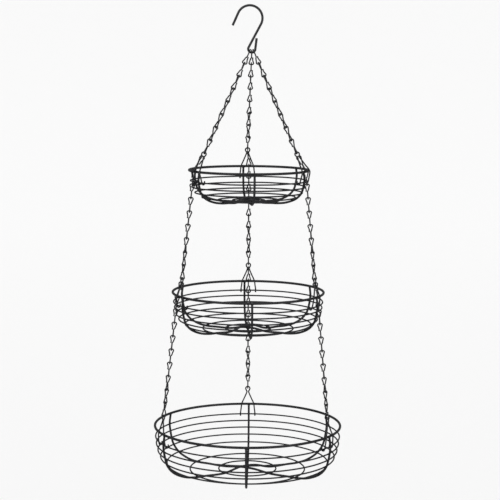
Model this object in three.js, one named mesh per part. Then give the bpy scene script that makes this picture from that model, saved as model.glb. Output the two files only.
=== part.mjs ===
// Three-tier hanging wire produce basket, in millimetres, +Z up, front towards -Y.
// The origin is the bearing point of the S-hook: the top of the inside of its upper crook.
// Three chain runs leave the lower crook and carry three baskets, one below the other.
// At each basket a wire clip hangs in each chain, passes outside the rim and hooks under
// the first ring. From the clip the chain goes on over the rim to the basket below.
import * as THREE from "three";

const COATED_WIRE = { color: 0x17181a, roughness: 0.42, metalness: 0.35 };

// Wire radii.
const HOOK_WIRE = 1.9;
const RIM_WIRE = 2;
const RIB_WIRE = 1.8;
const RING_WIRE = 1.2;
const CLIP_WIRE = 1.1;
const CHAIN_WIRE = 1.1;
const GAP = 0.3; // left between pieces that touch or are welded

// S-hook: a large upper crook, a straight shank and a small lower crook, in the XZ plane.
const CROOK_RADIUS = 20;
const CROOK_LEG = 21;
const CROOK_LEG_LEAN = 24; // degrees from vertical
const SHANK_LEAN = 28;
const SHANK_LENGTH = 41;
const FOOT_RADIUS = 5.6;
const FOOT_LEG = 17;
const FOOT_LEG_LEAN = 6.6;

// Chain: double-loop links, one loop turned a quarter turn from the other.
const LOOP_HALF_WIDTH = 3.5; // to the middle of the wire
const TOP_LOOP_LENGTH = 12.5;
const LINK_PITCH = 22; // the nearest whole number of links fills each run
const CROSSING_OUT = 5; // how far outside the rim's wire the chain passes it
const CROSSING_RISE = 1.5;

// Clip: an eye over two legs that spread down to the first ring.
const CLIP_RISE = 31; // from the rim up to the top of the eye
const EYE_RADIUS = 3.3;
const EYE_DEPTH = 8.5; // from the top of the eye to its pinched waist
const WAIST_HALF = 2.0;
const CLIP_HALF_AT_RIM = 10;
const CLIP_HALF_AT_RING = 13;
const CLIP_HOOK_RADIUS = 3; // of the bend round the ring
const CLIP_STEPS = 34;

// Each basket: rim radius to the middle of its wire, height of the rim, depth to the ribs
// under the base, radius of the flat base as a share of the rim, how far inside the rim the
// clips' eyes are, turn of the ribs, heights of the rings below the rim, base rings as
// shares of the rim, and the azimuths of the clips and of the chain runs that cross the
// rim on their way down, in degrees from the front.
const BASKETS = [
  {
    name: "top",
    rim: 95.2,
    z: -258.3,
    depth: 51,
    flat: 0.53,
    eyeIn: 13,
    turn: 5.5,
    rings: [16.9, 26.5, 35.8, 43.2],
    baseRings: [0.52, 0.27],
    clips: { left: -57, right: 65, rear: 181.5 },
    crossings: { left: -59, right: 63.5, rear: 180 },
  },
  {
    name: "middle",
    rim: 121.6,
    z: -455,
    depth: 62,
    flat: 0.6,
    eyeIn: 2,
    turn: 3,
    rings: [15.3, 24.4, 34.6, 43.8, 52.3],
    baseRings: [0.6, 0.3],
    clips: { left: -60, right: 60.5, rear: 180 },
    crossings: { left: -61.5, right: 60, rear: 180 },
  },
  {
    name: "bottom",
    rim: 150.8,
    z: -674,
    depth: 76,
    flat: 0.63,
    eyeIn: 2,
    turn: -0.7,
    rings: [17.7, 29, 40.3, 51.2, 62.6],
    baseRings: [0.62, 0.31],
    clips: { left: -63, right: 57.5, rear: 180 },
    crossings: {},
  },
];
const SIDES = ["left", "right", "rear"];

// A rib's shoulder, from just under the rim to the edge of the base: distance out as a share
// of the rim and depth as a share of the whole, for a base as wide as SHOULDER_FLAT.
const SHOULDER = [[1.012, 0.24], [0.988, 0.53], [0.963, 0.675], [0.89, 0.84], [0.76, 0.96]];
const SHOULDER_FLAT = 0.63;
const BASE_STRAIGHT = 0.8; // a rib leaves the plane of the base inside this share of it
const CENTRE_REACH = 0.45; // where the ribs start to rise over one another, as a share of it
const CENTRE_FLAT = 0.3; // where they have risen, as a share of the reach

// Smoothness of the tubes.
const RIM_SEGMENTS = 36;
const RIM_SIDES = 5;
const RING_SEGMENTS = 30;
const RING_SIDES = 4;
const RIB_STEPS = 24;
const LOOP_SEGMENTS = 16;
const RIB_COUNT = 3; // U-shaped wires, each crossing under the base

const object = new THREE.Group();

function place(name, geometry, group = object) {
  const mesh = new THREE.Mesh(geometry, new THREE.MeshStandardMaterial(COATED_WIRE));
  mesh.name = name;
  group.add(mesh);
  return mesh;
}

// A point at an azimuth: 0 is the front, -Y, and positive turns to the right, +X.
function around(azimuth, radius, z) {
  const a = THREE.MathUtils.degToRad(azimuth);
  return new THREE.Vector3(radius * Math.sin(a), -radius * Math.cos(a), z);
}

// A closed tube with flat ends along an open curve.
function tube(curve, radius, steps, sides) {
  const section = new THREE.Shape();
  for (let i = 0; i < sides; i += 1) {
    const a = (2 * Math.PI * i) / sides;
    const [x, y] = [radius * Math.cos(a), radius * Math.sin(a)];
    if (i === 0) section.moveTo(x, y);
    else section.lineTo(x, y);
  }
  return new THREE.ExtrudeGeometry(section, { steps, extrudePath: curve, bevelEnabled: false });
}

// A path of straight stretches joined by arcs, traced like a pen on the plane of u and v.
class Pen {
  constructor(start, u, v, heading) {
    this.points = [];
    this.start = start;
    this.u = u;
    this.v = v;
    this.at = new THREE.Vector2(0, 0);
    this.heading = THREE.MathUtils.degToRad(heading);
    this.mark();
  }
  mark() {
    const p = this.start.clone();
    p.addScaledVector(this.u, this.at.x).addScaledVector(this.v, this.at.y);
    this.points.push(p);
  }
  forward(length, steps = 1) {
    for (let i = 0; i < steps; i += 1) {
      this.at.x += (length / steps) * Math.cos(this.heading);
      this.at.y += (length / steps) * Math.sin(this.heading);
      this.mark();
    }
    return this;
  }
  arc(radius, degrees, steps) {
    const turn = THREE.MathUtils.degToRad(degrees) / steps;
    const chord = 2 * radius * Math.sin(Math.abs(turn) / 2);
    for (let i = 0; i < steps; i += 1) {
      this.heading += turn / 2;
      this.at.x += chord * Math.cos(this.heading);
      this.at.y += chord * Math.sin(this.heading);
      this.heading += turn / 2;
      this.mark();
    }
    return this;
  }
}

const X = new THREE.Vector3(1, 0, 0);
const Z = new THREE.Vector3(0, 0, 1);

// ---- S-hook ----
// Drawn from the tip of the upper leg, over the crook, down the shank and round the foot,
// then moved so that the inside top of the upper crook is at the origin. The centre of the
// foot's bend is kept, because the chain's loops are seated round it.
function hookPath() {
  const up = 90 - CROOK_LEG_LEAN;
  const down = 270 - SHANK_LEAN;
  const pen = new Pen(new THREE.Vector3(), X, Z, up);
  pen.forward(CROOK_LEG, 3);
  pen.arc(CROOK_RADIUS, down - 360 - up, 22);
  pen.forward(SHANK_LENGTH, 3);
  const inward = pen.heading + Math.PI / 2;
  const footCentre = new THREE.Vector3(Math.cos(inward), 0, Math.sin(inward));
  footCentre.multiplyScalar(FOOT_RADIUS).add(pen.points[pen.points.length - 1]);
  pen.arc(FOOT_RADIUS, 360 + 90 - FOOT_LEG_LEAN - down, 14);
  pen.forward(FOOT_LEG, 2);
  return [pen.points, footCentre];
}

const [hookPoints, footCentre] = hookPath();
const crookTop = hookPoints.reduce((a, b) => (b.z > a.z ? b : a));
const hookShift = new THREE.Vector3(-crookTop.x, 0, HOOK_WIRE - crookTop.z);
hookPoints.forEach((p) => p.add(hookShift));
footCentre.add(hookShift);
const hookCurve = new THREE.CatmullRomCurve3(hookPoints, false, "centripetal");
place("s_hook", tube(hookCurve, HOOK_WIRE, 48, 6));

// ---- Chain ----
// A straight stretch of chain as one solid of its links' outer form: each half link is a
// flat plate, wide at its loop and narrow at its neck, turned a quarter turn from the next.
function chainForm(start, end, links, facing, startsAtNeck) {
  const along = end.clone().sub(start).normalize();
  const across = facing.clone().addScaledVector(along, -facing.dot(along)).normalize();
  const through = new THREE.Vector3().crossVectors(along, across);
  const thin = CHAIN_WIRE;
  const neck = CHAIN_WIRE * 1.5;
  const wide = LOOP_HALF_WIDTH + CHAIN_WIRE;
  const stations = [[neck, thin * 1.2], [wide, thin], [thin * 1.5, thin * 1.5], [thin, wide]];
  const first = startsAtNeck ? 0 : 2;
  const count = links * stations.length;
  const positions = [];
  for (let i = 0; i <= count; i += 1) {
    const middle = start.clone().lerp(end, i / count);
    const [a, b] = stations[(i + first) % stations.length];
    for (const [s, t] of [[1, 1], [-1, 1], [-1, -1], [1, -1]]) {
      positions.push(middle.clone().addScaledVector(across, a * s).addScaledVector(through, b * t));
    }
  }
  const index = [0, 2, 1, 0, 3, 2];
  for (let i = 0; i < count; i += 1) {
    for (let k = 0; k < 4; k += 1) {
      const [p, q] = [4 * i + k, 4 * i + ((k + 1) % 4)];
      index.push(p, q, q + 4, p, q + 4, p + 4);
    }
  }
  const last = 4 * count;
  index.push(last, last + 1, last + 2, last, last + 2, last + 3);
  const geometry = new THREE.BufferGeometry().setFromPoints(positions);
  geometry.setIndex(index);
  geometry.computeVertexNormals();
  return geometry;
}

// One closed loop of chain wire round the foot of the hook, hanging towards a point: a
// torus drawn out into a loop with two straight sides.
function topLoop(top, towards) {
  const down = towards.clone().sub(top).normalize();
  const across = new THREE.Vector3(0, 1, 0);
  across.addScaledVector(down, -across.dot(down)).normalize();
  const through = new THREE.Vector3().crossVectors(across, down);
  const geometry = new THREE.TorusGeometry(LOOP_HALF_WIDTH, CHAIN_WIRE, 4, LOOP_SEGMENTS);
  geometry.rotateZ(Math.PI / LOOP_SEGMENTS);
  const half = TOP_LOOP_LENGTH / 2;
  const position = geometry.getAttribute("position");
  for (let i = 0; i < position.count; i += 1) {
    const y = position.getY(i);
    position.setY(i, y + half + Math.sign(y) * (half - LOOP_HALF_WIDTH));
  }
  geometry.applyMatrix4(new THREE.Matrix4().makeBasis(across, down, through).setPosition(top));
  geometry.computeVertexNormals();
  return geometry;
}

// ---- Baskets ----
// The middle of a rib: distance out from the axis and height below the rim, from under the
// rim, over a slight bulge, round the shoulder and onto the flat base.
function ribProfile(b) {
  const top = -(RIM_WIRE + GAP);
  const squeeze = (1 - b.flat) / (1 - SHOULDER_FLAT);
  const points = [new THREE.Vector2(b.rim, top)];
  for (const [share, drop] of SHOULDER) {
    const out = share > 1 ? share : 1 - (1 - share) * squeeze;
    points.push(new THREE.Vector2(b.rim * out, -b.depth * drop));
  }
  points.push(new THREE.Vector2(b.rim * b.flat, -b.depth));
  points.push(new THREE.Vector2(b.rim * b.flat * BASE_STRAIGHT, -b.depth));
  return points;
}

// The same profile as a curve, from which the rings are set off inwards.
function profileCurve(b) {
  return new THREE.SplineCurve(ribProfile(b));
}

// Where a ring lies: inside the ribs, at a height below the rim.
function ringSeat(b, drop) {
  const curve = profileCurve(b);
  const inward = RIB_WIRE + GAP + RING_WIRE;
  let best = null;
  for (let t = 0; t <= 1; t += 0.002) {
    const p = curve.getPoint(t);
    const along = curve.getTangent(t);
    const seat = new THREE.Vector2(p.x + along.y * inward, p.y - along.x * inward);
    const miss = Math.abs(seat.y + drop);
    if (!best || miss < best.miss) best = { miss, seat };
  }
  return best.seat;
}

// A U-shaped rib through the axis. Where the three cross they lie on one another.
function rib(b, layer) {
  const side = ribProfile(b);
  const lift = layer * (2 * RIB_WIRE + GAP);
  const far = side.map((p) => new THREE.Vector3(p.x, 0, p.y));
  const near = side.map((p) => new THREE.Vector3(-p.x, 0, p.y)).reverse();
  const reach = b.rim * b.flat * CENTRE_REACH;
  const middle = [1, CENTRE_FLAT, -CENTRE_FLAT, -1].map(
    (share) => new THREE.Vector3(reach * share, 0, -b.depth + (Math.abs(share) < 1 ? lift : 0)),
  );
  const curve = new THREE.CatmullRomCurve3([...far, ...middle, ...near], false, "centripetal");
  return tube(curve, RIB_WIRE, RIB_STEPS, 5);
}

function basket(b) {
  const group = new THREE.Group();
  group.position.z = b.z;
  group.rotation.z = THREE.MathUtils.degToRad(b.turn);
  object.add(group);
  place(`${b.name}_rim`, new THREE.TorusGeometry(b.rim, RIM_WIRE, RIM_SIDES, RIM_SEGMENTS), group);
  b.rings.forEach((drop, i) => {
    const seat = ringSeat(b, drop);
    const ring = new THREE.TorusGeometry(seat.x, RING_WIRE, RING_SIDES, RING_SEGMENTS);
    place(`${b.name}_ring_${i + 1}`, ring, group).position.z = seat.y;
  });
  b.baseRings.forEach((share, i) => {
    const ring = new THREE.TorusGeometry(b.rim * share, RING_WIRE, RING_SIDES, RING_SEGMENTS);
    const up = RIB_WIRE + GAP + RING_WIRE;
    place(`${b.name}_base_ring_${i + 1}`, ring, group).position.z = -b.depth + up;
  });
  for (let i = 0; i < RIB_COUNT; i += 1) {
    const mesh = place(`${b.name}_rib_${i + 1}`, rib(b, i), group);
    mesh.rotation.z = (Math.PI * i) / RIB_COUNT + Math.PI / 2;
  }
}

BASKETS.forEach(basket);

// ---- Clips ----
// The top of a clip's eye.
function eyeTop(b, side) {
  return around(b.clips[side], b.rim - b.eyeIn, b.z + CLIP_RISE);
}

// Where a clip passes the outside of the rim.
function rimSide(b, side) {
  return around(b.clips[side], b.rim + RIM_WIRE + GAP + CLIP_WIRE, b.z);
}

// The pinched waist under the eye, where the chain to the basket below hangs.
function waist(b, side) {
  const eye = eyeTop(b, side);
  return eye.addScaledVector(eye.clone().sub(rimSide(b, side)).normalize(), -EYE_DEPTH);
}

// One leg, from the tip of its hook inside the first ring, under the ring, up past the
// outside of the rim and in to the waist and the side of the eye.
function clipLeg(b, side, sign) {
  const azimuth = b.clips[side];
  const seat = ringSeat(b, b.rings[0]);
  const atRing = azimuth + sign * THREE.MathUtils.radToDeg(CLIP_HALF_AT_RING / seat.x);
  const atRim = azimuth + sign * THREE.MathUtils.radToDeg(CLIP_HALF_AT_RIM / b.rim);
  const h = CLIP_HOOK_RADIUS;
  const points = [around(atRing, seat.x - h, b.z + seat.y + 2)];
  for (const a of [180, 225, 270, 315, 360]) {
    const turn = THREE.MathUtils.degToRad(a);
    const out = seat.x + h * Math.cos(turn);
    points.push(around(atRing, out, b.z + seat.y + h * Math.sin(turn)));
  }
  points.push(around(atRim, b.rim + RIM_WIRE + GAP + CLIP_WIRE, b.z));
  const eye = eyeTop(b, side);
  const rim = rimSide(b, side);
  const up = eye.clone().sub(rim).normalize();
  const along = around(azimuth + 90, 1, 0);
  const narrow = waist(b, side).addScaledVector(along, sign * WAIST_HALF);
  points.push(points[points.length - 1].clone().lerp(narrow, 0.5));
  points.push(narrow);
  points.push(eye.clone().addScaledVector(up, -EYE_RADIUS).addScaledVector(along, sign * EYE_RADIUS));
  return points;
}

function clip(b, side) {
  const points = [...clipLeg(b, side, -1), eyeTop(b, side), ...clipLeg(b, side, 1).reverse()];
  const curve = new THREE.CatmullRomCurve3(points, false, "centripetal");
  place(`${b.name}_clip_${side}`, tube(curve, CLIP_WIRE, CLIP_STEPS, 4));
}

for (const b of BASKETS) {
  for (const side of SIDES) clip(b, side);
}

// ---- Chain runs ----
// Where a run passes the outside of a rim on its way down.
function crossing(b, side) {
  return around(b.crossings[side], b.rim + CROSSING_OUT, b.z + CROSSING_RISE);
}

function chain(name, from, to, startGap, endGap, { facing = X, startsAtNeck = false } = {}) {
  const along = to.clone().sub(from).normalize();
  const start = from.clone().addScaledVector(along, startGap);
  const end = to.clone().addScaledVector(along, -endGap);
  const links = Math.max(1, Math.round(start.distanceTo(end) / LINK_PITCH));
  place(name, chainForm(start, end, links, facing, startsAtNeck));
}

const END_GAP = CLIP_WIRE + CHAIN_WIRE + 2 * GAP; // from an eye to the end of a run's form
const WAIST_GAP = END_GAP + 2.3;
const JOINT_GAP = 2 * CHAIN_WIRE; // between two runs' forms

// The three loops hang side by side on the foot of the hook, the outer two a little up
// the sides of its bend.
const SLOT_ANGLE = 40; // degrees round the foot between two loops
const LOOP_SLACK = 0.45;
for (const side of SIDES) {
  const eye = eyeTop(BASKETS[0], side);
  const slot = { left: -1, rear: 0, right: 1 }[side];
  const turn = THREE.MathUtils.degToRad(slot * SLOT_ANGLE);
  const seat = footCentre.clone();
  seat.x += FOOT_RADIUS * Math.sin(turn);
  seat.z -= FOOT_RADIUS * Math.cos(turn);
  const along = eye.clone().sub(seat).normalize();
  const top = seat.clone().addScaledVector(along, -(HOOK_WIRE + LOOP_SLACK + CHAIN_WIRE));
  place(`top_loop_${side}`, topLoop(top, eye));
  chain(`top_chain_${side}`, top, eye, TOP_LOOP_LENGTH + END_GAP, END_GAP, { startsAtNeck: true });
}

// Each lower run has a short stretch from the clip's waist to the rim, and a long one from
// the rim to the clip below.
for (const [upper, lower] of [[BASKETS[0], BASKETS[1]], [BASKETS[1], BASKETS[2]]]) {
  for (const side of SIDES) {
    const over = crossing(upper, side);
    const facing = around(upper.clips[side] + 90, 1, 0);
    const start = waist(upper, side);
    chain(`${upper.name}_over_rim_${side}`, start, over, WAIST_GAP, JOINT_GAP / 2, { facing });
    chain(`${lower.name}_chain_${side}`, over, eyeTop(lower, side), JOINT_GAP / 2, END_GAP);
  }
}

export default object;
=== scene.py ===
"""Looks of the three-tier hanging wire produce basket, in metres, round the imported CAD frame."""
import math
import random

import bpy
from mathutils import Matrix, Vector, noise


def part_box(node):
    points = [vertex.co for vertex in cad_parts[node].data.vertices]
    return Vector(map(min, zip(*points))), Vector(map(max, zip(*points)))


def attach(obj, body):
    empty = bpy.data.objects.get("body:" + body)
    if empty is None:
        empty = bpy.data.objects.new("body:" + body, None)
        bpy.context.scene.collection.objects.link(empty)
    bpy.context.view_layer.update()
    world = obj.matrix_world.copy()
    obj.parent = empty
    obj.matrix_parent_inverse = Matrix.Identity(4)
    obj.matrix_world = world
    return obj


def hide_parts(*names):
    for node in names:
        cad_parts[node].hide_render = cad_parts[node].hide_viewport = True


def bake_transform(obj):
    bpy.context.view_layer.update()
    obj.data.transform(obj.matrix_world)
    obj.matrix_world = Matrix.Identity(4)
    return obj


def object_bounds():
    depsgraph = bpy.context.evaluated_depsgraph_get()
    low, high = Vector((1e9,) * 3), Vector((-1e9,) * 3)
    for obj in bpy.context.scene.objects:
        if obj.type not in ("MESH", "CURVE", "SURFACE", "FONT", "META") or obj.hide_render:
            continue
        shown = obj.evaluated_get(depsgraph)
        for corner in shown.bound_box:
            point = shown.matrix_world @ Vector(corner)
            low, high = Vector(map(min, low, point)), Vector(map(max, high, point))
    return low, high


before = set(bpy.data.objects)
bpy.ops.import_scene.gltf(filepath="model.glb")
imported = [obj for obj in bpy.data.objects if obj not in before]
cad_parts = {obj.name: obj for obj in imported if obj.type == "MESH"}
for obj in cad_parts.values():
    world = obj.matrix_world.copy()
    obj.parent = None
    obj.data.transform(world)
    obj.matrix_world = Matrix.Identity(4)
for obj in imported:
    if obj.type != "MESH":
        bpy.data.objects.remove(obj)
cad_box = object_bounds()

random.seed(7)
MM = 0.001
SIDES = ("left", "right", "rear")

# ---------------------------------------------------------------- measures
HOOK_R = 1.9 * MM
RIM_R = 2.0 * MM
RIB_R = 1.8 * MM
RING_R = 1.2 * MM
CLIP_R = 1.15 * MM
CHAIN_R = 1.1 * MM
SEAT_SLACK = 0.3 * MM  # between a link and the wire it hangs on, for the swing
SINK = 0.15 * MM  # how far welded wires sink into one another

# The S-hook, traced from the tip of its upper leg to the tip of its lower leg.
CROOK_RADIUS, CROOK_LEG, CROOK_LEAN = 20 * MM, 21 * MM, 24
SHANK_LEAN, SHANK_LENGTH = 28, 41 * MM
FOOT_RADIUS, FOOT_LEG, FOOT_LEAN = 5.6 * MM, 17 * MM, 6.6

# Clips: rise of the eye over the rim, its half width, and how far its waist is below its top.
CLIP_RISE = 31 * MM
EYE_HALF = 3.6 * MM
EYE_DEPTH = 9.0 * MM
WAIST_HALF = 1.5 * MM
KNEE_BELOW_WAIST = 3.2 * MM
TIP_RISE = 3 * MM  # of a leg's tip over the ring that it hooks
HOOK_SPREAD = 2.5 * MM  # how far a leg runs outwards between the rim and the ring

# Chain links: half width of a loop to the middle of its wire, and the length of a link.
LINK_HALF = 3.55 * MM
LINK_PITCH = 22.3 * MM
LINK_TWIST = 5  # degrees that a link may turn out of its place
WAIST_SEAT = 1.7 * MM  # how far over a clip's waist its lower chain hangs

# Where the lower runs pass the outside of a rim, and how the first links sit round the foot.
CROSSING_OUT = 5 * MM
CROSSING_RISE = 1.5 * MM
SLOT_ANGLE = 40  # degrees round the foot between two links
SLOTS = {"left": -1, "rear": 0, "right": 1}

# Weld beads: half sizes along the wire, across it and out of it.
RING_WELD = (2.1 * MM, 1.25 * MM, 0.85 * MM)
RIM_WELD = (1.6 * MM, 2.0 * MM, 2.0 * MM)
LEG_WELD = (2.5 * MM, 1.2 * MM, 1.75 * MM)
CENTRE_WELD = (2.3 * MM, 2.3 * MM, 1.0 * MM)
RIM_WELD_AZIMUTH = 150
RING_WANDER, BASE_RING_WANDER = 0.3 * MM, 0.25 * MM

# Per basket: share of the flat base, depth, how far inside the rim the eyes are, turn of the
# ribs, drops of the rings below the rim, base rings as shares of the rim, and per clip the
# azimuths of its eye and of its two legs at the rim and the way its eye is turned.
TIERS = {
    "top": dict(
        depth=51 * MM, flat=0.53, eye_in=13 * MM, turn=5.5,
        rings=(16.9, 26.5, 35.8, 43.2), base=(0.52, 0.27),
        clips=dict(
            left=(-57, -63.0, -51.0, 45), right=(65, 58.5, 80.0, -50), rear=(181.5, 175.5, 187.5, 0)
        ),
        crossings=dict(left=-59, right=63.5, rear=180),
    ),
    "middle": dict(
        depth=62 * MM, flat=0.6, eye_in=2 * MM, turn=3,
        rings=(15.3, 24.4, 34.6, 43.8, 52.3), base=(0.6, 0.3),
        clips=dict(
            left=(-60, -64.7, -55.3, 0), right=(60.5, 55.8, 65.2, 0), rear=(180, 175.3, 184.7, 0)
        ),
        crossings=dict(left=-61.5, right=60, rear=180),
    ),
    "bottom": dict(
        depth=76 * MM, flat=0.63, eye_in=2 * MM, turn=-0.7,
        rings=(17.7, 29, 40.3, 51.2, 62.6), base=(0.62, 0.31),
        clips=dict(
            left=(-63, -66.8, -59.2, 0), right=(57.5, 53.7, 61.3, 0), rear=(180, 176.2, 183.8, 0)
        ),
        crossings={},
    ),
}
# A rib's shoulder: shares of the rim's radius and of the depth, for a base of SHOULDER_FLAT.
SHOULDER = ((1.012, 0.24), (0.988, 0.53), (0.963, 0.675), (0.89, 0.84), (0.76, 0.96))
SHOULDER_FLAT = 0.63
BASE_STRAIGHT = 0.8  # a rib leaves the plane of the base inside this share of it
CENTRE_REACH = 0.45  # where the ribs start to rise over one another
CENTRE_FLAT = 0.3  # where they have risen, as a share of the reach
RIB_COUNT = 3
LEG_AZIMUTHS = [60 * i for i in range(2 * RIB_COUNT)]

for name, tier in TIERS.items():
    low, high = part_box(f"{name}_rim")
    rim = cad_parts[f"{name}_rim"].data.vertices
    tier["rim"] = max(math.hypot(v.co.x, v.co.y) for v in rim) - RIM_R
    tier["z"] = (low[2] + high[2]) / 2
    tier["rings"] = [drop * MM for drop in tier["rings"]]


# ---------------------------------------------------------------- curves and sweeps
def around(azimuth, radius, z):
    """A point at an azimuth: 0 is the front, -Y, and positive turns to +X."""
    a = math.radians(azimuth)
    return Vector((radius * math.sin(a), -radius * math.cos(a), z))


def smooth(points, per_span=10, closed=False):
    """A centripetal Catmull-Rom curve through the points, sampled evenly between them."""
    p = [Vector(q) for q in points]
    if closed:
        p = [p[-1], *p, p[0], p[1]]
    else:
        p = [2 * p[0] - p[1], *p, 2 * p[-1] - p[-2]]
    out = []
    for i in range(1, len(p) - 2):
        p0, p1, p2, p3 = p[i - 1 : i + 3]
        spans = ((p0, p1), (p1, p2), (p2, p3))
        d01, d12, d23 = (max(1e-9, (b - a).length) ** 0.5 for a, b in spans)
        m1 = ((p1 - p0) / d01 - (p2 - p0) / (d01 + d12) + (p2 - p1) / d12) * d12
        m2 = ((p2 - p1) / d12 - (p3 - p1) / (d12 + d23) + (p3 - p2) / d23) * d12
        for k in range(per_span):
            t = k / per_span
            a = 2 * t**3 - 3 * t**2 + 1
            b = t**3 - 2 * t**2 + t
            c = -2 * t**3 + 3 * t**2
            d = t**3 - t**2
            out.append(a * p1 + b * m1 + c * p2 + d * m2)
    if not closed:
        out.append(p[-2])
    return out


class Mesh:
    """Collects closed round wires and weld beads, and makes one object of them."""

    def __init__(self):
        self.verts = []
        self.faces = []

    def wire(self, path, radius, sides=12, closed=False):
        """A round wire along a path; open ends are cut square with a rounded edge."""
        pts = [Vector(q) for q in path]
        n = len(pts)
        tangents = []
        for i in range(n):
            if closed:
                t = pts[(i + 1) % n] - pts[i - 1]
            else:
                t = pts[min(i + 1, n - 1)] - pts[max(i - 1, 0)]
            tangents.append(t.normalized())
        first = Vector((0, 0, 1)) if abs(tangents[0].z) < 0.8 else Vector((0, 1, 0))
        normal = (first - tangents[0] * first.dot(tangents[0])).normalized()
        normals = [normal]
        for i in range(1, n):
            turn = tangents[i - 1].rotation_difference(tangents[i])
            normal = turn @ normal
            normal = (normal - tangents[i] * normal.dot(tangents[i])).normalized()
            normals.append(normal)
        stations = [(pts[i], tangents[i], normals[i], radius, 0.0) for i in range(n)]
        if closed:
            last = tangents[-1].rotation_difference(tangents[0]) @ normals[-1]
            twist = math.atan2(last.cross(normals[0]).dot(tangents[0]), last.dot(normals[0]))
            stations = [(*s[:4], twist * i / n) for i, s in enumerate(stations)]
        else:
            bevel = 0.35 * radius
            turns = [math.pi / 2 * k / 3 for k in range(3)]
            steps = [(bevel * math.cos(t), radius - bevel * (1 - math.sin(t))) for t in turns]
            head = [(pts[0] - tangents[0] * d, tangents[0], normals[0], r, 0.0) for d, r in steps]
            tail = [(pts[-1] + tangents[-1] * d, tangents[-1], normals[-1], r, 0.0)
                    for d, r in reversed(steps)]
            stations = head + stations + tail
        base = len(self.verts)
        for centre, t, nrm, r, twist in stations:
            side = t.cross(nrm)
            for k in range(sides):
                a = 2 * math.pi * k / sides + twist
                self.verts.append(centre + nrm * (r * math.cos(a)) + side * (r * math.sin(a)))
        count = len(stations)
        for i in range(count if closed else count - 1):
            j = (i + 1) % count
            for k in range(sides):
                m = (k + 1) % sides
                near, far = base + i * sides, base + j * sides
                self.faces.append((near + k, near + m, far + m, far + k))
        if not closed:
            self.faces.append(tuple(base + k for k in reversed(range(sides))))
            end = base + (count - 1) * sides
            self.faces.append(tuple(end + k for k in range(sides)))

    def bead(self, centre, along, out, sizes, segments=10, rings=6):
        """A weld bead: a flattened ball with a slightly uneven skin."""
        along = along.normalized()
        out = (out - along * out.dot(along)).normalized()
        third = along.cross(out)
        base = len(self.verts)
        for i in range(rings + 1):
            lat = math.pi * i / rings
            for k in range(segments if 0 < i < rings else 1):
                lon = 2 * math.pi * k / segments
                d = along * (math.cos(lat) * sizes[0])
                d += third * (math.sin(lat) * math.cos(lon) * sizes[1])
                d += out * (math.sin(lat) * math.sin(lon) * sizes[2])
                d *= 1 + 0.14 * noise.noise((centre + d) * 900)
                self.verts.append(centre + d)
        rows = [[base]]
        for i in range(1, rings):
            rows.append([base + 1 + (i - 1) * segments + k for k in range(segments)])
        rows.append([base + 1 + (rings - 1) * segments])
        for i in range(rings):
            a, b = rows[i], rows[i + 1]
            for k in range(segments):
                m = (k + 1) % segments
                if len(a) == 1:
                    self.faces.append((a[0], b[k], b[m]))
                elif len(b) == 1:
                    self.faces.append((a[k], b[0], a[m]))
                else:
                    self.faces.append((a[k], b[k], b[m], a[m]))

    def make(self, name, body, material, replaces=()):
        mesh = bpy.data.meshes.new(name)
        mesh.from_pydata([tuple(v) for v in self.verts], [], self.faces)
        mesh.polygons.foreach_set("use_smooth", [True] * len(mesh.polygons))
        mesh.update()
        obj = bpy.data.objects.new(name, mesh)
        bpy.context.scene.collection.objects.link(obj)
        obj.data.materials.append(material)
        if body:
            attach(obj, body)
        if replaces:
            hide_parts(*replaces)
        return obj


# ---------------------------------------------------------------- materials
COLOR_A, COLOR_B, COLOR_OUT = 6, 7, 2  # sockets of a Mix node that mixes colours


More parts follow.
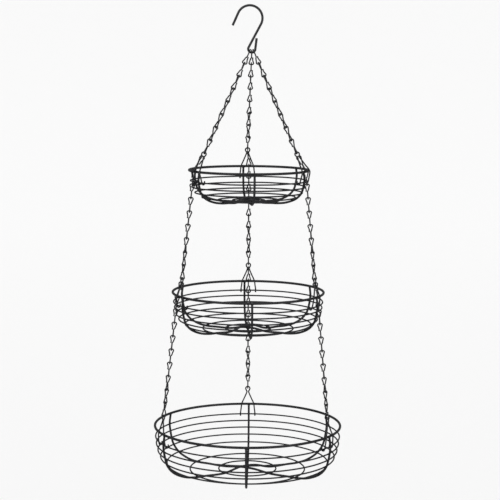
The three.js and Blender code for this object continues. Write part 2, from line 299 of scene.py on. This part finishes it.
def coated_wire(name, base, sheen, roughness, grain, worn):
    """Black coated steel: a soft orange-peel skin, dust-dulled patches and rubbed spots."""
    mat = bpy.data.materials.new(name)
    mat.use_nodes = True
    nodes, links = mat.node_tree.nodes, mat.node_tree.links
    shader = nodes["Principled BSDF"]
    shader.inputs["Specular IOR Level"].default_value = sheen
    coords = nodes.new("ShaderNodeTexCoord")

    def texture(scale, detail, rough=0.55):
        node = nodes.new("ShaderNodeTexNoise")
        node.inputs["Scale"].default_value = scale
        node.inputs["Detail"].default_value = detail
        node.inputs["Roughness"].default_value = rough
        links.new(coords.outputs["Object"], node.inputs["Vector"])
        return node.outputs["Fac"]

    def ramp(source, low, high, first, last):
        node = nodes.new("ShaderNodeMapRange")
        node.interpolation_type = "SMOOTHSTEP"
        limits = {"From Min": low, "From Max": high, "To Min": first, "To Max": last}
        for key, value in limits.items():
            node.inputs[key].default_value = value
        links.new(source, node.inputs["Value"])
        return node.outputs["Result"]

    cloud = texture(55, 4)
    speck = texture(1400, 3)
    rub = texture(170, 5, 0.7)

    shades = nodes.new("ShaderNodeMix")
    shades.data_type = "RGBA"
    links.new(ramp(cloud, 0.32, 0.68, 0, 1), shades.inputs["Factor"])
    shades.inputs[COLOR_A].default_value = (*[c * 0.75 for c in base], 1)
    shades.inputs[COLOR_B].default_value = (*[c * 1.35 for c in base], 1)

    flecks = nodes.new("ShaderNodeMix")
    flecks.data_type = "RGBA"
    links.new(ramp(speck, 0.62, 0.72, 0, 0.35), flecks.inputs["Factor"])
    links.new(shades.outputs[COLOR_OUT], flecks.inputs[COLOR_A])
    flecks.inputs[COLOR_B].default_value = (*[c * 2.4 for c in base], 1)

    bare = nodes.new("ShaderNodeMix")
    bare.data_type = "RGBA"
    wear = ramp(rub, 0.665 - worn, 0.72 - worn, 0, 0.85)
    links.new(wear, bare.inputs["Factor"])
    links.new(flecks.outputs[COLOR_OUT], bare.inputs[COLOR_A])
    bare.inputs[COLOR_B].default_value = (0.09, 0.09, 0.094, 1)
    links.new(bare.outputs[COLOR_OUT], shader.inputs["Base Color"])

    metal = nodes.new("ShaderNodeMath")
    metal.operation = "MULTIPLY"
    links.new(wear, metal.inputs[0])
    metal.inputs[1].default_value = 0.8
    links.new(metal.outputs[0], shader.inputs["Metallic"])

    dull = nodes.new("ShaderNodeMath")
    dull.operation = "ADD"
    links.new(ramp(cloud, 0.3, 0.7, roughness - 0.06, roughness + 0.08), dull.inputs[0])
    links.new(ramp(speck, 0.4, 0.7, 0, 0.06), dull.inputs[1])
    links.new(dull.outputs[0], shader.inputs["Roughness"])

    peel = nodes.new("ShaderNodeBump")
    peel.inputs["Strength"].default_value = grain
    peel.inputs["Distance"].default_value = 0.00012
    links.new(texture(1900, 2), peel.inputs["Height"])
    chips = nodes.new("ShaderNodeBump")
    chips.invert = True
    chips.inputs["Strength"].default_value = 0.5
    chips.inputs["Distance"].default_value = 0.00006
    links.new(wear, chips.inputs["Height"])
    links.new(peel.outputs["Normal"], chips.inputs["Normal"])
    links.new(chips.outputs["Normal"], shader.inputs["Normal"])
    return mat


basket_coat = coated_wire("basket_coat", (0.017, 0.017, 0.019), 0.3, 0.38, 0.45, -0.015)
chain_coat = coated_wire("chain_coat", (0.02, 0.02, 0.022), 0.35, 0.36, 0.3, 0.005)
clip_coat = coated_wire("clip_coat", (0.019, 0.019, 0.021), 0.35, 0.36, 0.35, -0.005)
hook_coat = coated_wire("hook_coat", (0.021, 0.021, 0.023), 0.35, 0.35, 0.35, -0.005)


# ---------------------------------------------------------------- S-hook
def trace(moves, heading):
    """A path in the XZ plane: ("go", length) or ("turn", radius, degrees)."""
    at = Vector((0, 0, 0))
    heading = math.radians(heading)
    path = [at.copy()]
    for move in moves:
        if move[0] == "go":
            steps = 8
            for _ in range(steps):
                at = at + Vector((math.cos(heading), 0, math.sin(heading))) * (move[1] / steps)
                path.append(at.copy())
        else:
            steps = max(8, round(abs(move[2]) / 5))
            turn = math.radians(move[2]) / steps
            chord = 2 * move[1] * math.sin(abs(turn) / 2)
            for _ in range(steps):
                heading += turn / 2
                at = at + Vector((math.cos(heading), 0, math.sin(heading))) * chord
                heading += turn / 2
                path.append(at.copy())
    return path


leg_up, shank_down = 90 - CROOK_LEAN, 270 - SHANK_LEAN
to_shank_end = [
    ("go", CROOK_LEG),
    ("turn", CROOK_RADIUS, shank_down - 360 - leg_up),
    ("go", SHANK_LENGTH),
]
round_foot = [("turn", FOOT_RADIUS, 450 - FOOT_LEAN - shank_down), ("go", FOOT_LEG)]
hook_path = trace(to_shank_end + round_foot, leg_up)
crook_top = max(hook_path, key=lambda p: p.z)
shift = Vector((-crook_top.x, 0, HOOK_R - crook_top.z))
hook_path = [p + shift for p in hook_path]
inward = math.radians(shank_down + 90)
shank_end = trace(to_shank_end, leg_up)[-1] + shift
foot_centre = shank_end + Vector((math.cos(inward), 0, math.sin(inward))) * FOOT_RADIUS
hook = Mesh()
hook.wire(hook_path, HOOK_R, 20)
hook.make("s_hook_wire", "hook", hook_coat, ["s_hook"])


# ---------------------------------------------------------------- baskets
def rib_profile(tier):
    """Distance out and height below the rim of a rib's middle, from the rim to the base."""
    rim, depth, flat = tier["rim"], tier["depth"], tier["flat"]
    squeeze = (1 - flat) / (1 - SHOULDER_FLAT)
    points = [Vector((rim, 0, -(RIM_R + 0.3 * MM)))]
    for share, drop in SHOULDER:
        out = share if share > 1 else 1 - (1 - share) * squeeze
        points.append(Vector((rim * out, 0, -depth * drop)))
    points.append(Vector((rim * flat, 0, -depth)))
    points.append(Vector((rim * flat * BASE_STRAIGHT, 0, -depth)))
    return points


def ring_seat(profile, drop):
    """Radius and height of a ring welded inside the ribs, and the way out to the rib."""
    inward = RIB_R + RING_R - SINK
    best = None
    for a, b in zip(profile, profile[1:]):
        along = (b - a).normalized()
        seat = a + Vector((along.z, 0, -along.x)) * inward
        miss = abs(seat.z + drop)
        if best is None or miss < best[0]:
            best = (miss, seat, Vector((-along.z, 0, along.x)))
    return best[1], best[2]


def circle(radius, z, steps=144, wobble=0.0, seed=0.0):
    """A closed ring whose radius and height wander by a hair, as bent wire does."""
    path = []
    for i in range(steps):
        a = 2 * math.pi * i / steps
        spot = Vector((math.cos(a) * 1.7 + seed, math.sin(a) * 1.7, seed * 0.37))
        r = radius + wobble * noise.noise(spot)
        height = z + 0.6 * wobble * noise.noise(spot * 1.9)
        path.append(Vector((r * math.cos(a), r * math.sin(a), height)))
    return path


def build_basket(name, tier):
    body = f"{name}_tier"
    z, turn = tier["z"], math.radians(tier["turn"])
    spin = Matrix.Rotation(turn, 4, "Z")
    place = Matrix.Translation((0, 0, z)) @ spin
    dense = smooth(rib_profile(tier), 24)
    welds = Mesh()

    rim = Mesh()
    rim.wire([place @ p for p in circle(tier["rim"], 0, 180)], RIM_R, 18, closed=True)
    joint = place @ around(RIM_WELD_AZIMUTH, tier["rim"], 0)
    tangent = around(RIM_WELD_AZIMUTH + 90, 1, 0)
    rim.bead(joint, spin @ tangent, Vector((0, 0, 1)), RIM_WELD, 16, 8)
    rim.make(f"{name}_rim_wire", body, basket_coat, [f"{name}_rim"])

    seats = [ring_seat(dense, drop) for drop in tier["rings"]]
    for i, (seat, out) in enumerate(seats):
        ring = Mesh()
        path = circle(seat.x, seat.z, 144, RING_WANDER, i + tier["turn"])
        ring.wire([place @ p for p in path], RING_R, 12, closed=True)
        ring.make(f"{name}_ring_wire_{i + 1}", body, basket_coat,
                  [f"{name}_ring_{i + 1}"])
        for azimuth in LEG_AZIMUTHS:
            spot = around(azimuth, seat.x + out.x * RING_R, seat.z + out.z * RING_R)
            normal = around(azimuth, out.x, out.z)
            welds.bead(place @ spot, spin @ around(azimuth + 90, 1, 0), spin @ normal, RING_WELD)
    up = RIB_R + RING_R - SINK
    for i, share in enumerate(tier["base"]):
        ring = Mesh()
        seed = 9 + i + tier["turn"]
        path = circle(tier["rim"] * share, -tier["depth"] + up, 120, BASE_RING_WANDER, seed)
        ring.wire([place @ p for p in path], RING_R, 12, closed=True)
        ring.make(f"{name}_base_wire_{i + 1}", body, basket_coat,
                  [f"{name}_base_ring_{i + 1}"])
        for azimuth in LEG_AZIMUTHS:
            spot = around(azimuth, tier["rim"] * share, -tier["depth"] + RIB_R - SINK)
            along = spin @ around(azimuth + 90, 1, 0)
            welds.bead(place @ spot, along, Vector((0, 0, 1)), RING_WELD)

    side = rib_profile(tier)
    reach = tier["rim"] * tier["flat"] * CENTRE_REACH
    for i in range(RIB_COUNT):
        lift = i * (2 * RIB_R - SINK)
        middle = [
            Vector((reach * share, 0, -tier["depth"] + (lift if abs(share) < 1 else 0)))
            for share in (1, CENTRE_FLAT, -CENTRE_FLAT, -1)
        ]
        mirrored = [Vector((-p.x, 0, p.z)) for p in reversed(side)]
        path = smooth([*side, *middle, *mirrored], 12)
        bend = place @ Matrix.Rotation(math.pi * i / RIB_COUNT + math.pi / 2, 4, "Z")
        rib = Mesh()
        rib.wire([bend @ p for p in path], RIB_R, 14)
        rib.make(f"{name}_rib_wire_{i + 1}", body, basket_coat,
                 [f"{name}_rib_{i + 1}"])
        if i:
            height = -tier["depth"] + lift - RIB_R
            spot = place @ Vector((0, 0, height))
            welds.bead(spot, Vector((1, 0, 0)), Vector((0, 0, 1)), CENTRE_WELD)
    for azimuth in LEG_AZIMUTHS:
        spot = around(azimuth, tier["rim"], -RIM_R)
        welds.bead(place @ spot, spin @ around(azimuth + 90, 1, 0), spin @ around(azimuth, 1, 0),
                   LEG_WELD, 14, 8)
    welds.make(f"{name}_welds", body, basket_coat)
    tier["seats"] = seats


# ---------------------------------------------------------------- clips
def eye_top(tier, side):
    return around(tier["clips"][side][0], tier["rim"] - tier["eye_in"], tier["z"] + CLIP_RISE)


def clip_frame(tier, side):
    """The eye's top, the way up the clip, across its eye, and out of its face."""
    azimuth, _, _, twist = tier["clips"][side]
    eye = eye_top(tier, side)
    rim = around(azimuth, tier["rim"] + RIM_R + CLIP_R, tier["z"])
    up = (eye - rim).normalized()
    across = Matrix.Rotation(math.radians(twist), 3, up) @ around(azimuth + 90, 1, 0)
    across = (across - up * across.dot(up)).normalized()
    return eye, up, across, across.cross(up)


def clip_leg(tier, side, sign):
    """From the tip inside the first ring, under it, up past the rim, to the side of the eye."""
    azimuth = tier["clips"][side][1 if sign < 0 else 2]
    seat = tier["seats"][0][0]
    bend = RING_R + CLIP_R + 0.1 * MM
    spread = sign * math.degrees(HOOK_SPREAD / seat.x)
    z = tier["z"] + seat.z
    points = [around(azimuth + spread, seat.x - bend, z + TIP_RISE)]
    for a in (180, 225, 270, 315, 360):
        turn = math.radians(a)
        radius = seat.x + bend * math.cos(turn)
        points.append(around(azimuth + spread, radius, z + bend * math.sin(turn)))
    out = tier["rim"] + RIM_R + CLIP_R - 0.05 * MM
    radius = (seat.x + bend + out) / 2 + 0.4 * MM
    points.append(around(azimuth + spread * 0.5, radius, z * 0.5 + tier["z"] * 0.5))
    points.append(around(azimuth, out, tier["z"]))
    eye, up, across, _ = clip_frame(tier, side)
    narrow = eye - up * EYE_DEPTH + across * (sign * WAIST_HALF)
    knee = eye - up * (EYE_DEPTH + KNEE_BELOW_WAIST) + across * (sign * WAIST_HALF * 1.5)
    points.append(points[-1].lerp(knee, 0.55))
    points.append(knee)
    points.append(narrow)
    points.append(eye - up * (EYE_HALF * 1.55) + across * (sign * EYE_HALF * 0.86))
    points.append(eye - up * (EYE_HALF * 0.8) + across * (sign * EYE_HALF * 0.98))
    points.append(eye - up * (EYE_HALF * 0.2) + across * (sign * EYE_HALF * 0.6))
    return points


def build_clips(name, tier):
    for side in SIDES:
        clip = Mesh()
        left, right = clip_leg(tier, side, -1), clip_leg(tier, side, 1)
        clip.wire(smooth([*left, eye_top(tier, side), *reversed(right)], 8), CLIP_R, 12)
        clip.make(f"{name}_clip_wire_{side}", f"{name}_tier", clip_coat,
                  [f"{name}_clip_{side}"])


# ---------------------------------------------------------------- chain
def link_path(top, bottom, upper, lower):
    """One double-loop link of one wire: a pear loop up in the plane of `upper`, through the
    waist, and a pear loop down in the plane of `lower`, with both ends tucked to the waist."""
    middle = (top + bottom) / 2
    half = (top - bottom).length / 2
    axis = (top - bottom).normalized()
    upper = (upper - axis * upper.dot(axis)).normalized()
    lower = (lower - axis * lower.dot(axis)).normalized()
    w = LINK_HALF
    # Steps out from the axis and up along it: the slanting sides, then the rounded end.
    side = [(1.3 * MM, 2.0 * MM), (0.57 * w, 0.36 * half), (0.74 * w, 0.55 * half)]
    side += [(0.93 * w, 0.72 * half), (w, 0.8 * half), (0.95 * w, half - 1.5 * MM)]
    side += [(0.7 * w, half - 0.45 * MM), (0.35 * w, half - 0.06 * MM)]
    loop = [(-2.1 * MM, 0.4 * MM), (-1.9 * MM, 2.2 * MM)]
    loop += [(-s, h) for s, h in side[1:]]
    loop.append((0, half))
    loop += list(reversed(side))
    points = [middle + upper * s + axis * h for s, h in loop]
    points.append(middle)
    points += [middle + lower * s - axis * h for s, h in reversed(loop)]
    return smooth(points, 3)


def turned(vector, axis, degrees):
    return Matrix.Rotation(math.radians(degrees), 3, axis) @ vector


def links_between(top, bottom, count, first, last, twisting=3):
    """Links from the top centre of the first loop to the bottom centre of the last one. The
    first upper loop lies in the plane of `first`, and the last lower loop in that of `last`;
    the last few links take up the twist between them."""
    axis = (top - bottom).normalized()
    length = (top - bottom).length
    each = (length + (count - 1) * 2 * CHAIN_R) / count
    first = (first - axis * first.dot(axis)).normalized()
    last = (last - axis * last.dot(axis)).normalized()
    start_lower = axis.cross(first)
    total = math.degrees(math.atan2(start_lower.cross(last).dot(axis), start_lower.dot(last)))
    if total > 90:
        total -= 180
    if total < -90:
        total += 180
    paths = []
    for i in range(count):
        share = max(0, (i - count + 1 + twisting) / twisting)
        angle = total * share
        if 0 < i < count - 1:
            angle += random.uniform(-LINK_TWIST, LINK_TWIST)
        upper = turned(first, axis, angle)
        lower = turned(start_lower, axis, angle)
        if count == 1:
            lower = last
        at = top - axis * (i * (each - 2 * CHAIN_R))
        paths.append(link_path(at, at - axis * each, upper, lower))
    return paths


def build_top_runs():
    tier = TIERS["top"]
    for side in SIDES:
        slot_turn = math.radians(SLOTS[side] * SLOT_ANGLE)
        seat = foot_centre + Vector((math.sin(slot_turn), 0, -math.cos(slot_turn))) * FOOT_RADIUS
        eye, _, _, face = clip_frame(tier, side)
        axis = (seat - eye).normalized()
        top = seat + axis * (HOOK_R + CHAIN_R + SEAT_SLACK)
        bottom = eye - axis * (CLIP_R + CHAIN_R + SEAT_SLACK)
        count = round((top - bottom).length / LINK_PITCH)
        twisting = 3 if side == "rear" else count - 1
        paths = links_between(top, bottom, count, Vector((0, 1, 0)), face, twisting)
        first = Mesh()
        first.wire(paths[0], CHAIN_R, 10)
        obj = first.make(f"top_link_{side}", None, chain_coat, [f"top_loop_{side}"])
        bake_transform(obj)
        run = Mesh()
        for path in paths[1:]:
            run.wire(path, CHAIN_R, 10)
        run.make(f"top_run_{side}", "top_tier", chain_coat, [f"top_chain_{side}"])


def build_lower_runs(upper_name, lower_name):
    upper, lower = TIERS[upper_name], TIERS[lower_name]
    for side in SIDES:
        azimuth = upper["crossings"][side]
        over = around(azimuth, upper["rim"] + CROSSING_OUT, upper["z"] + CROSSING_RISE)
        eye, up, _, face = clip_frame(upper, side)
        waist = eye - up * (EYE_DEPTH - WAIST_SEAT)
        axis = (waist - over).normalized()
        out = around(azimuth, 1, 0) if side == "rear" else Vector((1, 0, 0))
        link = Mesh()
        for path in links_between(waist, over - axis * CHAIN_R, 1, face, axis.cross(out)):
            link.wire(path, CHAIN_R, 10)
        link.make(f"{upper_name}_rim_link_{side}", f"{upper_name}_tier", chain_coat,
                  [f"{upper_name}_over_rim_{side}"])
        eye, _, _, face = clip_frame(lower, side)
        axis = (over - eye).normalized()
        top = over + axis * CHAIN_R
        bottom = eye - axis * (CLIP_R + CHAIN_R + SEAT_SLACK)
        count = round((top - bottom).length / LINK_PITCH)
        run = Mesh()
        for path in links_between(top, bottom, count, out, face):
            run.wire(path, CHAIN_R, 10)
        run.make(f"{lower_name}_run_{side}", f"{lower_name}_{side}_chain", chain_coat,
                 [f"{lower_name}_chain_{side}"])


for name, tier in TIERS.items():
    build_basket(name, tier)
    build_clips(name, tier)
build_top_runs()
build_lower_runs("top", "middle")
build_lower_runs("middle", "bottom")


# ---------------------------------------------------------------- stage, light and camera
# The sweep stands outside every camera position round the object, and glows a little, so
# that it is as pale from every side.
SWEEP_RADIUS, SWEEP_BEND, SWEEP_TOP, FLOOR_DROP, FLOOR_HUB = 4.2, 1.2, 4.0, 1.2, 0.02
SWEEP_SEGMENTS = 96
SWEEP_COLOR = (0.3, 0.3, 0.3, 1)
SWEEP_GLOW = 0.68
WORLD_LIGHT = 0.2


def backdrop():
    """A pale round sweep: a floor that curves up into a wall all the way round."""
    mesh = bpy.data.meshes.new("backdrop")
    floor = cad_box[0][2] - FLOOR_DROP
    profile = [(FLOOR_HUB, floor), (0.5 * SWEEP_RADIUS, floor), (SWEEP_RADIUS - SWEEP_BEND, floor)]
    for i in range(1, 17):
        a = math.pi / 2 * i / 16
        out = SWEEP_RADIUS - SWEEP_BEND * (1 - math.sin(a))
        profile.append((out, floor + SWEEP_BEND * (1 - math.cos(a))))
    profile.append((SWEEP_RADIUS, SWEEP_TOP))
    count = SWEEP_SEGMENTS
    turns = [math.tau * k / count for k in range(count)]
    verts = [(r * math.cos(a), r * math.sin(a), z) for r, z in profile for a in turns]
    faces = [tuple(range(count))]
    for i in range(len(profile) - 1):
        low, high = i * count, (i + 1) * count
        for k in range(count):
            m = (k + 1) % count
            faces.append((low + k, high + k, high + m, low + m))
    mesh.from_pydata(verts, [], faces)
    mesh.polygons.foreach_set("use_smooth", [True] * len(mesh.polygons))
    obj = bpy.data.objects.new("backdrop", mesh)
    bpy.context.scene.collection.objects.link(obj)
    mat = bpy.data.materials.new("pale_paper")
    mat.use_nodes = True
    shader = mat.node_tree.nodes["Principled BSDF"]
    shader.inputs["Base Color"].default_value = SWEEP_COLOR
    shader.inputs["Roughness"].default_value = 0.9
    shader.inputs["Emission Color"].default_value = (1, 1, 1, 1)
    shader.inputs["Emission Strength"].default_value = SWEEP_GLOW
    obj.data.materials.append(mat)
    mat.cycles.emission_sampling = "NONE"
    obj.visible_glossy = False  # thin black wire mirrors a bright wall along its edges


def area_light(name, place, towards, size, power):
    data = bpy.data.lights.new(name, "AREA")
    data.shape = "RECTANGLE"
    data.size, data.size_y = size
    data.energy = power
    obj = bpy.data.objects.new(name, data)
    obj.location = place
    obj.rotation_euler = (Vector(towards) - Vector(place)).to_track_quat("-Z", "Y").to_euler()
    obj.visible_camera = False
    bpy.context.scene.collection.objects.link(obj)


backdrop()
area_light("key", (-1.3, -1.9, 1.2), (0, 0, -0.4), (1.2, 1.2), 24)
area_light("fill", (1.8, -1.6, 0.2), (0, 0, -0.4), (1.6, 1.6), 12)
area_light("top", (0, 0.3, 1.9), (0, 0.1, -0.5), (2.4, 1.6), 16)
world = bpy.data.worlds.new("studio")
world.use_nodes = True
world.node_tree.nodes["Background"].inputs["Color"].default_value = (1, 1, 1, 1)
world.node_tree.nodes["Background"].inputs["Strength"].default_value = WORLD_LIGHT
bpy.context.scene.world = world
bpy.context.scene.view_settings.view_transform = "Standard"

CAMERA_AT = Vector((2.6, -2396, -90.8)) * MM
PITCH_DOWN, ROLL = 0.123, 0.005
LENS, SENSOR = 108.04, 36
camera_data = bpy.data.cameras.new("camera")
camera_data.sensor_width = SENSOR
camera_data.lens = LENS
camera = bpy.data.objects.new("camera", camera_data)
camera.matrix_world = (
    Matrix.Translation(CAMERA_AT)
    @ Matrix.Rotation(math.pi / 2 - PITCH_DOWN, 4, "X")
    @ Matrix.Rotation(ROLL, 4, "Z")
)
bpy.context.scene.collection.objects.link(camera)
bpy.context.scene.camera = camera
